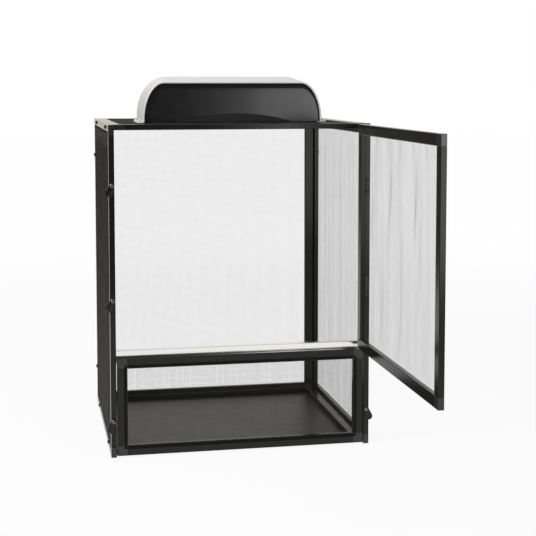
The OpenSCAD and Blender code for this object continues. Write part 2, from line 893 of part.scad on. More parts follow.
// Turn latches, drawn turned away from the doors
module turn_latch(s, z) {
    color("#141416") translate([s * latch_x, latch_back_y, z]) rotate([90, 0, 0])
        rotate(s > 0 ? 180 + latch_open : -latch_open) difference() {
            linear_extrude(latch_t) hull() {
                circle(latch_eye_r);
                translate([latch_reach, 0]) circle(latch_paddle_r);
            }
            translate([0, 0, -eps]) cylinder(h = latch_t + 2 * eps, r = rivet_r + turn_fit);
        }
}

module upper_latch() {
    turn_latch(-1, upper_latch_z);
}

module lower_latch() {
    turn_latch(-1, lower_latch_z);
}

module left_catch() {
    turn_latch(-1, catch_z);
}

module right_catch() {
    turn_latch(1, catch_z);
}

module latch_rivets() {
    stack = bar_wall + latch_t + 1.5 * latch_gap;
    color("#b9bcbe") for (p = latch_places) {
        translate([p[0] * latch_x, front_y + bar_wall - stack, p[1]]) rotate([90, 0, 0])
            rivet(rivet_r, stack, rivet_head_r, rivet_head_h, rivet_tail_r, rivet_tail_h);
    }
}

// Light hood, standing on the top mesh
module hood_slice(from, depth) {
    translate([0, hood_y + from + depth, hood_z]) rotate([90, 0, 0]) linear_extrude(depth) children();
}

module hood_shell() {
    color("#d5d7d9") {
        hood_slice(0, hood_d) difference() {
            polygon(hood_outline(0, 0));
            polygon(hood_outline(hood_wall, -eps));
        }
        for (from = [0, hood_d - hood_rim_d]) {
            hood_slice(from, hood_rim_d) difference() {
                polygon(hood_outline(hood_wall / 2, 0));
                polygon(hood_outline(hood_rim, -eps));
            }
        }
    }
}

// A face panel fills the rim's opening, with a flange behind the rim and two ledges on its inner side
module face_panel() {
    face_d = hood_rim_d - panel_set;
    hood_slice(panel_set, face_d + panel_flange_t / 2) polygon(hood_outline(hood_rim + hood_fit, 0));
    hood_slice(hood_rim_d, panel_flange_t) polygon(hood_outline(hood_wall + hood_fit, 0));
    for (low = [ledge_low, ledge_high]) {
        translate([-ledge_len / 2, hood_y + hood_rim_d + panel_flange_t / 2, hood_z + low])
            cube([ledge_len, ledge_d + panel_flange_t / 2, ledge_t]);
    }
}

module hood_front_panel() {
    color("#17181a") difference() {
        face_panel();
        hood_slice(-eps, panel_set + arch_depth + eps) intersection() {
            translate([0, arch_h - arch_r]) circle(arch_r, $fn = 96);
            translate([-arch_w / 2, -eps]) square([arch_w, arch_h + 2 * eps]);
        }
    }
}

module at_grommet() {
    translate([grommet_x, hood_y + hood_d - panel_set, hood_z + grommet_z]) rotate([90, 0, 0]) children();
}

module hood_back_panel() {
    color("#17181a") difference() {
        translate([0, 2 * hood_y + hood_d, 0]) mirror([0, 1, 0]) face_panel();
        at_grommet() translate([0, 0, -eps]) cylinder(h = grommet_len + 2 * eps, r = grommet_r + screw_fit);
    }
}

module hood_feet() {
    back_set = hood_d - foot_set - foot_len;
    color("#e9eaea") for (s = [0, 1], from = [foot_set, back_set]) {
        mirror([s, 0, 0]) translate([hood_w / 2, hood_y + from + foot_len, cage_h]) rotate([90, 0, 0])
            linear_extrude(foot_len) polygon([[-foot_in, 0], [foot_out, 0], [foot_out, foot_h],
                [screw_fit, foot_h], [screw_fit, foot_sole], [-foot_in, foot_sole]]);
    }
}

module hood_reflector() {
    half = hood_d / 2 - flange_front - hood_fit;
    crown = reflector_crown / 2;
    foot = ledge_reach - reflector_t;
    color("#f0f0ec") translate([-reflector_len / 2, hood_y + hood_d / 2, hood_z]) rotate([90, 0, 90])
        linear_extrude(reflector_len) polygon([[-half, reflector_z], [-foot, reflector_z],
            [-crown, crown_z], [crown, crown_z], [foot, reflector_z], [half, reflector_z],
            [half, reflector_z + reflector_t], [foot + reflector_t, reflector_z + reflector_t],
            [crown + reflector_t, crown_z + reflector_t], [-crown - reflector_t, crown_z + reflector_t],
            [-foot - reflector_t, reflector_z + reflector_t], [-half, reflector_z + reflector_t]]);
}

module hood_led_board() {
    color("#e4e6e2") translate([-board_len / 2, hood_y + (hood_d - board_w) / 2, hood_z + crown_z - board_t])
        cube([board_len, board_w, board_t]);
}

module hood_leds() {
    pitch = (board_len - 2 * led_end) / (leds_per_row - 1);
    color("#f3e6a8") for (i = [0 : leds_per_row - 1], s = [-1, 1]) {
        translate([(i - (leds_per_row - 1) / 2) * pitch - led_side / 2,
            hood_y + hood_d / 2 + s * led_row_gap / 2 - led_side / 2, hood_z + crown_z - board_t - led_t])
            cube([led_side, led_side, led_t]);
    }
}

module hood_diffuser() {
    half = hood_d / 2 - flange_front - hood_fit;
    low = hood_z + ledge_low + ledge_t;
    color("#eef2f4", 0.6) translate([-ledge_len / 2, hood_y + hood_d / 2 - half, low])
        cube([ledge_len, 2 * half, diffuser_t]);
}

module hood_grommet() {
    flange_r = grommet_r + grommet_flange;
    color("#1c1c1c") at_grommet() difference() {
        union() {
            cylinder(h = grommet_len, r = grommet_r);
            translate([0, 0, -grommet_flange_t]) cylinder(h = grommet_flange_t, r = flange_r);
            translate([0, 0, grommet_len]) cylinder(h = grommet_flange_t, r = flange_r);
        }
        translate([0, 0, -2 * grommet_flange_t])
            cylinder(h = grommet_len + 4 * grommet_flange_t, r = grommet_bore_r);
    }
}

left_stiles();
left_rails();
left_corner_blocks();
left_mesh();
left_spline();
right_stiles();
right_rails();
right_corner_blocks();
right_mesh();
right_spline();
back_stiles();
back_rails();
back_corner_blocks();
back_mesh();
back_spline();
top_stiles();
top_rails();
top_corner_blocks();
top_mesh();
top_spline();
base_stiles();
base_rails();
base_corner_blocks();
floor_sheet();
floor_screws();
mid_crossbar();
crossbar_plugs();
left_panel_screws();
right_panel_screws();
main_door_stiles();
main_door_rails();
main_door_corner_blocks();
main_door_mesh();
main_door_spline();
door_hinge_leaves();
door_hinge_rivets();
frame_hinge_leaves();
frame_hinge_screws();
hinge_pins();
lower_door_stiles();
lower_door_rails();
lower_door_corner_blocks();
lower_door_mesh();
lower_door_spline();
lower_door_pivot_pins();
upper_latch();
lower_latch();
left_catch();
right_catch();
latch_rivets();
hood_shell();
hood_front_panel();
hood_back_panel();
hood_feet();
hood_reflector();
hood_led_board();
hood_leds();
hood_diffuser();
hood_grommet();
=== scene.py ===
# Mesh reptile cage: bar-framed screen panels, an open main door, a lower flap door and a light hood on top.
# Metres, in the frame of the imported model: origin on the floor under the cage, +X right, +Y back, +Z up.
import json
import math

import bmesh
import bpy
from mathutils import Euler, Matrix, Vector

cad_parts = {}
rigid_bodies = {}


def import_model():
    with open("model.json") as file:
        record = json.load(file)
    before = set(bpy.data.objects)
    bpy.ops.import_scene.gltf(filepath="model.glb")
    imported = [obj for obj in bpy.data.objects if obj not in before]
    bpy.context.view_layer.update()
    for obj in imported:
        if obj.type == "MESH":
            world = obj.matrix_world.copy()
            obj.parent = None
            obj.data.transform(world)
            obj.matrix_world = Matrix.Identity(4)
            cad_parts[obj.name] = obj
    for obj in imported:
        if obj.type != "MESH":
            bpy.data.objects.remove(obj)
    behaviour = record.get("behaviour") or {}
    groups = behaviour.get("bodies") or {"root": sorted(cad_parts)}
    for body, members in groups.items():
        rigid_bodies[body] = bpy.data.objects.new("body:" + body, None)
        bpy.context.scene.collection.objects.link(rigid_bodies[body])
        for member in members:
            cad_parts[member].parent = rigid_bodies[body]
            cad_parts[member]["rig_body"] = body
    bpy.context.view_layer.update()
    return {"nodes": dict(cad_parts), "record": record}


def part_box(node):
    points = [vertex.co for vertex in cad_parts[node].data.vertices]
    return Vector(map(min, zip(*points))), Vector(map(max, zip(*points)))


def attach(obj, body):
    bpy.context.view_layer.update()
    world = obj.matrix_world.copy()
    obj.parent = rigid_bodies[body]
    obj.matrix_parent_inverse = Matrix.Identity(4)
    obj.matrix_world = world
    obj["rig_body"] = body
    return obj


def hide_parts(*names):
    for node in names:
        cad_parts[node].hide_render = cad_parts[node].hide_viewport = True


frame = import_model()
mm = 0.001

# Camera: it stands two metres before the cage, left of its middle and level with the hood, and looks
# a little to the right and down. The picture's frame is lowered, so that the uprights stay nearly upright.
frame_px = 536
focal_px = 1241.4
camera_place = Vector((-329, -2043.7, 568.9)) * mm
camera_turn = math.radians(11.198)
camera_dip = math.radians(4.524)
camera_drop = -0.16

camera = bpy.data.objects.new("camera", bpy.data.cameras.new("camera"))
camera.data.lens = camera.data.sensor_width * focal_px / frame_px
camera.data.shift_y = camera_drop
camera.location = camera_place
camera.rotation_euler = Euler((math.pi / 2 - camera_dip, 0, -camera_turn))
bpy.context.collection.objects.link(camera)
bpy.context.scene.camera = camera


# Frame bars: every panel has two uprights and two rails cut from one hollow aluminium extrusion with a groove
# for the spline. They are powder coated black, which gives a dark satin skin with a faint orange peel,
# and their long edges are rounded by the die.
def linear(code):
    """An sRGB hex code as linear red, green and blue, with an alpha of 1."""
    parts = [int(code[i:i + 2], 16) / 255 for i in (1, 3, 5)]
    return [c / 12.92 if c <= 0.04045 else ((c + 0.055) / 1.055) ** 2.4 for c in parts] + [1.0]


def add_node(tree, kind, inputs={}, to=None, **settings):
    """Adds a shader node with its settings and links, and returns the first socket that it puts out.

    Each input is a constant or a socket to link from, and to is a socket that the node feeds.
    In a mix of colours, input 0 is the share and inputs 6 and 7 are the two colours.
    """
    node = tree.nodes.new("ShaderNode" + kind)
    for name, value in settings.items():
        setattr(node, name, value)
    for socket, value in inputs.items():
        if isinstance(value, bpy.types.NodeSocket):
            tree.links.new(value, node.inputs[socket])
        else:
            node.inputs[socket].default_value = value
    result = next(socket for socket in node.outputs if socket.enabled)
    if to is not None:
        tree.links.new(result, to)
    return result


def start_material(name, **sockets):
    """A material, its tree, its surface sockets with constants set, and object coordinates in metres."""
    material = bpy.data.materials.new(name)
    material.use_nodes = True
    tree = material.node_tree
    surface = tree.nodes["Principled BSDF"].inputs
    for socket, value in sockets.items():
        surface[socket.replace("_", " ")].default_value = value
    place = add_node(tree, "TexCoord").node.outputs["Object"]
    return material, tree, surface, place


def make_piece(name, shape, crease):
    """A smooth object from a shape that is done. Edges that turn by more than crease stay sharp."""
    mesh = bpy.data.meshes.new(name)
    shape.to_mesh(mesh)
    shape.free()
    mesh.shade_smooth()
    mesh.set_sharp_from_angle(angle=crease)
    piece = bpy.data.objects.new(name, mesh)
    bpy.context.collection.objects.link(piece)
    return piece


def soften(node, name, radius, shortest):
    """A finished copy of a CAD piece: its straight edges longer than shortest are rounded to radius."""
    source = frame["nodes"][node]
    shape = bmesh.new()
    shape.from_mesh(source.data)
    bmesh.ops.remove_doubles(shape, verts=shape.verts, dist=0.001 * mm)
    bmesh.ops.dissolve_limit(shape, angle_limit=math.radians(1), verts=shape.verts, edges=shape.edges)
    weight = shape.edges.layers.float.new("bevel_weight_edge")
    for edge in shape.edges:
        sharp = edge.is_manifold and edge.calc_face_angle() > math.radians(40)
        edge[weight] = 1.0 if sharp and edge.calc_length() > shortest else 0.0
    piece = make_piece(name, shape, crease=math.radians(30))
    rounding = piece.modifiers.new("rounding", "BEVEL")
    rounding.limit_method = "WEIGHT"
    rounding.width = radius
    rounding.segments = 2
    flat_faces = piece.modifiers.new("flat_faces", "WEIGHTED_NORMAL")
    flat_faces.weight = 100
    flat_faces.keep_sharp = True
    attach(piece, source["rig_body"])
    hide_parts(node)
    return piece


def finish_piece(piece, material):
    """Gives a new piece its material."""
    piece.data.materials.append(material)


bar_rounding = 0.7 * mm
peel_size = 1.6 * mm
dust_size = 60 * mm
bar_black = linear("#141410")
bar_dusty = linear("#201f1a")

powder_coat, tree, surface, place = start_material("powder_coated_aluminium", Specular_IOR_Level=0.25)
dust = add_node(tree, "TexNoise", {"Vector": place, "Scale": 1 / dust_size, "Detail": 4.0})
add_node(tree, "Mix", {0: dust, 6: bar_black, 7: bar_dusty}, surface["Base Color"], data_type="RGBA")
add_node(tree, "MapRange", {"Value": dust, "To Min": 0.14, "To Max": 0.22}, surface["Roughness"])
peel = add_node(tree, "TexNoise", {"Vector": place, "Scale": 1 / peel_size, "Detail": 2.0})
add_node(tree, "Bump", {"Height": peel, "Distance": 0.012 * mm, "Strength": 0.5}, surface["Normal"])

panels = ["left", "right", "back", "top", "base", "main_door", "lower_door"]
for panel in panels:
    for part in ("stiles", "rails"):
        bars = soften(f"{panel}_{part}", f"{panel}_{part}_coated", bar_rounding, shortest=20 * mm)
        finish_piece(bars, powder_coat)

# Corner blocks: moulded nylon blocks whose legs are driven into the bars' hollow ends. The mould is spark
# eroded, so they are a shade lighter and duller than the bars and show a fine even grain.
block_rounding = 0.6 * mm
blush_size = 8 * mm
grain_size = 0.5 * mm
nylon_dark = linear("#1a1a17")
nylon_light = linear("#272622")

nylon, tree, surface, place = start_material("moulded_nylon", Roughness=0.24, IOR=1.53)
blush = add_node(tree, "TexNoise", {"Vector": place, "Scale": 1 / blush_size, "Detail": 3.0})
add_node(tree, "Mix", {0: blush, 6: nylon_dark, 7: nylon_light}, surface["Base Color"], data_type="RGBA")
grain = add_node(tree, "TexVoronoi", {"Vector": place, "Scale": 1 / grain_size})
add_node(tree, "Bump", {"Height": grain, "Distance": 0.02 * mm, "Strength": 0.3}, surface["Normal"])

for panel in panels:
    node = f"{panel}_corner_blocks"
    blocks = soften(node, f"{node}_moulded", block_rounding, shortest=6 * mm)
    finish_piece(blocks, nylon)

# Screens: black coated wire cloth is laid over the bars' inner lips and its edge is tucked into the groove.
# It is plain woven and only hand tight, so it shows soft upright ripples, most of all in the large door.
# The real wires are about 1.5 mm apart; they are drawn 2 mm apart so that they show.
wire_pitch = 2.0 * mm
wire_thick = 0.165 * mm
hem_depth = 1.8 * mm
slack_rise = 0.35 * mm
wear_size = 25 * mm
wire_dark = linear("#1a1918")
wire_worn = linear("#302d2a")
# Each fold of the door's cloth: its middle across and up as shares of the cloth, its half length as a share,
# its lean, its half width and its rise.
door_folds = [
    (0.34, 0.72, 0.17, 0.10, 11 * mm, 2.1 * mm), (0.66, 0.73, 0.16, 0.08, 10 * mm, 1.9 * mm),
    (0.92, 0.62, 0.16, 0.06, 10 * mm, 1.2 * mm), (0.28, 0.48, 0.18, 0.05, 10 * mm, 1.0 * mm),
    (0.20, 0.97, 0.06, 0.0, 6 * mm, 0.9 * mm), (0.36, 0.97, 0.05, 0.0, 6 * mm, 0.8 * mm),
    (0.52, 0.97, 0.06, 0.0, 6 * mm, 0.9 * mm), (0.68, 0.98, 0.07, 0.0, 7 * mm, 1.0 * mm),
    (0.84, 0.97, 0.06, 0.0, 6 * mm, 0.9 * mm), (0.52, 0.12, 0.10, 0.22, 8 * mm, 0.9 * mm),
    (0.77, 0.20, 0.12, 0.0, 9 * mm, 0.9 * mm), (0.50, 0.42, 0.25, 0.03, 12 * mm, 0.9 * mm)]

coated_wire, tree, surface, place = start_material("coated_screen_wire", Roughness=0.42)
wear = add_node(tree, "TexNoise", {"Vector": place, "Scale": 1 / wear_size, "Detail": 3.0})
add_node(tree, "Mix", {0: wear, 6: wire_dark, 7: wire_worn}, surface["Base Color"], data_type="RGBA")


def slack(across, up, width, folds):
    """How far the cloth stands off its plane at a place given as two shares of its size."""
    # About five broad ripples and eleven fine ones cross the cloth. They wander, swell and fade.
    drift = across + 0.012 * math.sin(5 * up) + 0.02 * math.sin(7 * across)
    wave = 0.6 * math.sin(31 * drift) * math.sin(6.5 * across + 2.6 * up)
    wave += 0.4 * math.sin(67 * drift + 1.1) * math.cos(11 * across - 3 * up)
    height = slack_rise * wave
    for fold_across, fold_up, half_length, lean, half_width, rise in folds:
        reach = (up - fold_up) / half_length
        away = (across - fold_across + lean * (up - fold_up)) * width / half_width
        # A fold is steep on one side and three times as wide on the other.
        steep = away if away < 0 else away / 3
        height += rise * math.exp(-steep * steep - reach * reach)
    # The bars hold the cloth flat: it rises within a twelfth of its width and a thirtieth of its height.
    return height * min(1.0, 12 * min(across, 1 - across)) * min(1.0, 30 * min(up, 1 - up))


def add_wire(shape, points, side):
    """A thin wire along points, which lie in a plane square to side."""
    rings = []
    for i, point in enumerate(points):
        along = points[min(i + 1, len(points) - 1)] - points[max(i - 1, 0)]
        lift = along.normalized().cross(side) * wire_thick / 2
        edge = side * wire_thick / 2
        rings.append([shape.verts.new(point + way) for way in (lift, edge, -lift, -edge)])
    for one, two in zip(rings, rings[1:]):
        for k in range(4):
            shape.faces.new((one[k], one[k - 1], two[k - 1], two[k]))
    shape.faces.new(rings[0])
    shape.faces.new(rings[-1][::-1])


def weave(name, node, out, across, folds):
    """Wire cloth in place of a mesh sheet. out points from the bars' inner face to the grooved face."""
    low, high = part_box(node)
    up = out.cross(across)
    up = up if sum(up) > 0 else -up
    middle = (low + high) / 2
    half = (high - low) / 2
    half_across = abs(half.dot(across))
    half_up = abs(half.dot(up))
    sheet = middle + out * (abs(half.dot(out)) - wire_thick)
    # A folded cloth needs more points along each wire.
    steps_across = 110 if folds else 26
    steps_up = 32 if folds else 16
    shape = bmesh.new()
    for run, side, half_run, half_side, layer, steps in (
            (across, up, half_across, half_up, wire_thick / 2, steps_across),
            (up, across, half_up, half_across, -wire_thick / 2, steps_up)):
        count = int(2 * half_side / wire_pitch)
        for i in range(count + 1):
            offset = (i - count / 2) * wire_pitch
            points = []
            for k in range(steps + 1):
                place_along = (2 * k / steps - 1) * half_run
                shares = (place_along / half_run / 2 + 0.5, offset / half_side / 2 + 0.5)
                shares = shares if run is across else shares[::-1]
                height = slack(*shares, 2 * half_across, folds)
                points.append(sheet + run * place_along + side * offset + out * (height + layer))
            tuck = out * -hem_depth
            add_wire(shape, [points[0] + tuck] + points + [points[-1] + tuck], side)
    cloth = make_piece(name, shape, crease=math.pi)
    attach(cloth, frame["nodes"][node]["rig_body"])
    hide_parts(node)
    finish_piece(cloth, coated_wire)


x_way, y_way, z_way = Vector((1, 0, 0)), Vector((0, 1, 0)), Vector((0, 0, 1))
for panel, out, across in (("left", -x_way, y_way), ("right", x_way, y_way), ("back", y_way, x_way),
                           ("top", z_way, x_way), ("main_door", x_way, y_way),
                           ("lower_door", -y_way, x_way)):
    weave(f"{panel}_wire_cloth", f"{panel}_mesh", out, across, door_folds if panel == "main_door" else [])

# Splines: a ribbed cord of soft PVC, rolled into each bar's groove over the cloth's tucked edge, holds it
# there. Soft PVC is dull and black with a faint grey bloom, and the ribs show as a fine roughness.
rib_pitch = 1.2 * mm
bloom_size = 10 * mm
pvc_black = linear("#0f0f10")
pvc_grey = linear("#1b1b1c")

soft_pvc, tree, surface, place = start_material("soft_pvc_cord", Roughness=0.7, Specular_IOR_Level=0.3)
bloom = add_node(tree, "TexNoise", {"Vector": place, "Scale": 1 / bloom_size, "Detail": 3.0})
add_node(tree, "Mix", {0: bloom, 6: pvc_black, 7: pvc_grey}, surface["Base Color"], data_type="RGBA")
ribs = add_node(tree, "TexVoronoi", {"Vector": place, "Scale": 1 / rib_pitch})
add_node(tree, "Bump", {"Height": ribs, "Distance": 0.1 * mm, "Strength": 0.5}, surface["Normal"])


def dress(material, *nodes):
    """Gives CAD pieces whose shape is right their finished material."""
    for node in nodes:
        for slot in frame["nodes"][node].material_slots:
            slot.material = material


dress(soft_pvc, *[f"{panel}_spline" for panel in panels if panel != "base"])

# Floor: a sheet of black rigid PVC, sawn to size and screwed onto the base frame from below. It has the
# pebbled grain of a rolled sheet, drawn about twice as coarse so that it shows, and pale cleaning scuffs.
sheet_rounding = 0.5 * mm
shade_size = 30 * mm
pebble_size = 4 * mm
scuff_length = 60 * mm
scuff_narrow = 14.0
scuff_turn = 0.5
floor_black = linear("#161617")
floor_grey = linear("#29292a")
floor_scuff = linear("#3b3b3a")

rolled_pvc, tree, surface, place = start_material("rolled_pvc_sheet", Specular_IOR_Level=0.4)
shade = add_node(tree, "TexNoise", {"Vector": place, "Scale": 1 / shade_size, "Detail": 5.0})
clean = add_node(tree, "Mix", {0: shade, 6: floor_black, 7: floor_grey}, data_type="RGBA")
wiped = add_node(tree, "Mapping", {"Vector": place, "Rotation": (0, 0, scuff_turn),
                                   "Scale": (1.0, scuff_narrow, 1.0)})
scuff = add_node(tree, "TexNoise", {"Vector": wiped, "Scale": 1 / scuff_length, "Detail": 6.0})
scuff = add_node(tree, "MapRange", {"Value": scuff, "From Min": 0.6, "From Max": 0.8})
add_node(tree, "Mix", {0: scuff, 6: clean, 7: floor_scuff}, surface["Base Color"], data_type="RGBA")
add_node(tree, "MapRange", {"Value": shade, "To Min": 0.34, "To Max": 0.52}, surface["Roughness"])
pebble = add_node(tree, "TexVoronoi", {"Vector": place, "Scale": 1 / pebble_size}, feature="SMOOTH_F1")
add_node(tree, "Bump", {"Height": pebble, "Distance": 0.3 * mm, "Strength": 0.6}, surface["Normal"])

floor_sheet = soften("floor_sheet", "floor_sheet_sawn", sheet_rounding, shortest=20 * mm)
finish_piece(floor_sheet, rolled_pvc)

# Crossbar: one rectangular aluminium tube in mill finish behind the doors' meeting edges. The die leaves
# fine lines along it, so it is bright and slightly brushed. Black nylon plugs seat it in the side panels.
tube_rounding = 1.0 * mm
plug_rounding = 0.4 * mm
die_line = 0.8 * mm
die_line_stretch = 50
aluminium_bright = linear("#f8f7f4")
aluminium_dull = linear("#ebe9e5")

mill_aluminium, tree, surface, place = start_material("mill_finish_aluminium", Metallic=1.0)
along = add_node(tree, "Mapping", {"Vector": place, "Scale": (1 / die_line_stretch, 1.0, 1.0)})
lines = add_node(tree, "TexNoise", {"Vector": along, "Scale": 1 / die_line, "Detail": 3.0})
add_node(tree, "Mix", {0: lines, 6: aluminium_bright, 7: aluminium_dull}, surface["Base Color"],
         data_type="RGBA")
add_node(tree, "MapRange", {"Value": lines, "To Min": 0.12, "To Max": 0.22}, surface["Roughness"])
add_node(tree, "Bump", {"Height": lines, "Distance": 0.05 * mm, "Strength": 0.4}, surface["Normal"])

crossbar = soften("mid_crossbar", "mid_crossbar_drawn", tube_rounding, shortest=15 * mm)
finish_piece(crossbar, mill_aluminium)
plugs = soften("crossbar_plugs", "crossbar_plugs_moulded", plug_rounding, shortest=4 * mm)
finish_piece(plugs, nylon)

# Panel screws: black zinc plated pan-head screws through the side panels into the top, back and base bars.
# The plating is thin and slightly glossy, and the drive wears it to grey.
plating_wear = 1.5 * mm
zinc_black = linear("#131314")
zinc_worn = linear("#2a2a2b")

black_zinc, tree, surface, place = start_material("black_zinc_steel", Metallic=0.7)
wear = add_node(tree, "TexNoise", {"Vector": place, "Scale": 1 / plating_wear, "Detail": 3.0})
add_node(tree, "Mix", {0: wear, 6: zinc_black, 7: zinc_worn}, surface["Base Color"], data_type="RGBA")
add_node(tree, "MapRange", {"Value": wear, "To Min": 0.3, "To Max": 0.5}, surface["Roughness"])

dress(black_zinc, "left_panel_screws", "right_panel_screws")

# Door hinges: two folded steel butt hinges in black lacquer, with screws in the side panel and rivets in the
# door. Lacquer on pressed steel is smooth and a shade lighter than the bars, and rubs to a brownish grey.
lacquer_wear = 4 * mm
lacquer_black = linear("#1d1d1f")
lacquer_worn = linear("#33312f")

lacquered_steel, tree, surface, place = start_material("lacquered_steel", Specular_IOR_Level=0.5)
wear = add_node(tree, "TexNoise", {"Vector": place, "Scale": 1 / lacquer_wear, "Detail": 4.0})
add_node(tree, "Mix", {0: wear, 6: lacquer_black, 7: lacquer_worn}, surface["Base Color"], data_type="RGBA")
add_node(tree, "MapRange", {"Value": wear, "To Min": 0.25, "To Max": 0.45}, surface["Roughness"])

dress(lacquered_steel, "door_hinge_leaves", "frame_hinge_leaves", "hinge_pins")
dress(black_zinc, "door_hinge_rivets", "frame_hinge_screws")

# Bright fasteners: domed rivets on which the latches turn, the lower door's pivot pins and the floor screws.
# They are nickel plated steel, bright with a slight cloudiness.
nickel_cloud = 1.2 * mm
nickel_bright = linear("#7b7a77")
nickel_dull = linear("#5e5d5b")

nickel_plate, tree, surface, place = start_material("nickel_plated_steel", Metallic=1.0)
cloud = add_node(tree, "TexNoise", {"Vector": place, "Scale": 1 / nickel_cloud, "Detail": 3.0})
add_node(tree, "Mix", {0: cloud, 6: nickel_bright, 7: nickel_dull}, surface["Base Color"], data_type="RGBA")
add_node(tree, "MapRange", {"Value": cloud, "To Min": 0.18, "To Max": 0.32}, surface["Roughness"])

dress(nickel_plate, "latch_rivets", "lower_door_pivot_pins", "floor_screws")

# Turn latches: four pear-shaped paddles moulded in gloss black ABS, each turning on its rivet before a post.
# The polished mould gives a smooth glossy face with a full round edge, finely scuffed by use.
latch_eye_r = 4.0 * mm
latch_paddle_r = 5.7 * mm
latch_reach = 12.3 * mm
latch_bore_r = 1.65 * mm
latch_arc_steps = 16
latch_open = math.radians(110)
# Each ring of a paddle, from its back to its face: inset of the outline and height, in mm.
latch_rings = [(0.3, 0.0), (0.05, 0.2), (0.0, 0.5), (0.0, 1.3), (0.15, 1.75), (0.5, 2.05), (1.1, 2.2)]
scuff_size = 3 * mm
latch_black = linear("#0d0d0e")
latch_scuffed = linear("#1d1d1f")

polished_abs, tree, surface, place = start_material("polished_black_abs", Specular_IOR_Level=0.3)
scuff = add_node(tree, "TexNoise", {"Vector": place, "Scale": 1 / scuff_size, "Detail": 5.0})
add_node(tree, "Mix", {0: scuff, 6: latch_black, 7: latch_scuffed}, surface["Base Color"], data_type="RGBA")
add_node(tree, "MapRange", {"Value": scuff, "To Min": 0.12, "To Max": 0.34}, surface["Roughness"])


def pear_outline(inset):
    """The paddle's outline drawn in by inset: round its broad end, then round its eye at the origin."""
    tangent = math.acos((latch_eye_r - latch_paddle_r) / latch_reach)
    steps = [k / latch_arc_steps for k in range(latch_arc_steps + 1)]
    paddle = [(-tangent + 2 * tangent * s, latch_reach, latch_paddle_r) for s in steps]
    eye = [(tangent + (2 * math.pi - 2 * tangent) * s, 0.0, latch_eye_r) for s in steps]
    return [(middle + (r - inset) * math.cos(a), (r - inset) * math.sin(a)) for a, middle, r in paddle + eye]


def mould_latch(name, pivot, turn):
    """A paddle with its bore at pivot, lying against the front and turned by turn."""
    shape = bmesh.new()
    rings = [[(x, y, depth * mm) for x, y in pear_outline(inset * mm)] for inset, depth in latch_rings]
    bore = [Vector((x, y, 0)).normalized() * latch_bore_r for x, y in pear_outline(0)]
    rings = [[(p.x, p.y, 0.0) for p in bore]] + rings + [[(p.x, p.y, latch_rings[-1][1] * mm) for p in bore]]
    lay = Matrix.Translation(pivot) @ Matrix.Rotation(math.pi / 2, 4, "X") @ Matrix.Rotation(turn, 4, "Z")
    rings = [[shape.verts.new(lay @ Vector(p)) for p in ring] for ring in rings]
    for one, two in zip(rings, rings[1:] + rings[:1]):
        for k in range(len(one)):
            shape.faces.new((one[k - 1], one[k], two[k], two[k - 1]))
    bmesh.ops.recalc_face_normals(shape, faces=shape.faces)
    return make_piece(name, shape, crease=math.radians(50))


for latch in ("upper_latch", "lower_latch", "left_catch", "right_catch"):
    joint = next(j for j in frame["record"]["behaviour"]["joints"] if j["child"] == latch)
    pivot = Vector(joint["pos_m"])
    turn = math.pi + latch_open if pivot.x > 0 else -latch_open
    paddle = mould_latch(f"{latch}_paddle", pivot, turn)
    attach(paddle, latch)
    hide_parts(latch)
    finish_piece(paddle, polished_abs)

# Hood shell: one band of aluminium sheet bent over the hood's sides and top. It is drawn in a little towards
# the front, where it ends in a thin round edge, and has a rim folded in at the back. The sprayed silver paint
# gives it a pale satin skin with a very fine sparkle.
hood_low, hood_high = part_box("hood_shell")
hood_corner_w = 48 * mm
hood_corner_h = 60 * mm
hood_corner_steps = 24
shell_wall = 2.5 * mm
draw_in_side = 3.5 * mm
draw_in_top = 8.5 * mm
draw_in_corner = 14 * mm
edge_round = 1.2 * mm
rim_width = 5 * mm
rim_depth = 4 * mm
rim_round = 2.6 * mm
lip_round = 0.5 * mm
bend_steps = 5
flake_size = 0.25 * mm
silver_light = linear("#e9e9e7")
silver_dark = linear("#dcdcda")

silver_paint, tree, surface, place = start_material("silver_sprayed_aluminium", Metallic=0.15)
flake = add_node(tree, "TexNoise", {"Vector": place, "Scale": 1 / flake_size, "Detail": 2.0})
add_node(tree, "Mix", {0: flake, 6: silver_dark, 7: silver_light}, surface["Base Color"], data_type="RGBA")
add_node(tree, "MapRange", {"Value": flake, "To Min": 0.3, "To Max": 0.42}, surface["Roughness"])


def hood_outline(y, inset, side_inset):
    """The hood cut across at y and drawn in by two insets: up the left, over the top and down the right."""
    share = (hood_high.y - y) / (hood_high.y - hood_low.y)
    side = side_inset + share * draw_in_side
    left, right = hood_low.x + side, hood_high.x - side
    top = hood_high.z - inset - share * draw_in_top
    turn_x, turn_z = hood_corner_w - side_inset - share * draw_in_corner, hood_corner_h - inset
    angles = [k * math.pi / (2 * hood_corner_steps) for k in range(hood_corner_steps + 1)]
    corner = [(math.sin(angle), 1 - math.cos(angle)) for angle in angles]
    rise = [(left + turn_x * c, top - turn_z + turn_z * s) for s, c in corner]
    fall = [(right - turn_x * c, top - turn_z + turn_z * s) for s, c in reversed(corner)]
    return [(left, hood_low.z)] + rise + fall + [(right, hood_low.z)]


front, back = hood_low.y, hood_high.y
front_lip = [(shell_wall - lip_round, 0), (shell_wall, lip_round)]
back_lip = [(rim_width - lip_round, 0), (rim_width, lip_round), (rim_width, rim_depth),
            (shell_wall, rim_depth)]
bend_angles = [k * math.pi / (2 * bend_steps) for k in range(bend_steps + 1)]
rim_section = []
for edge_y, way, r, lip in ((front, 1, edge_round, front_lip), (back, -1, rim_round, back_lip)):
    bend = [(r - r * math.cos(angle), r - r * math.sin(angle)) for angle in bend_angles]
    run = [(inset, edge_y + way * depth) for inset, depth in bend + lip]
    rim_section += run if way == 1 else run[::-1]

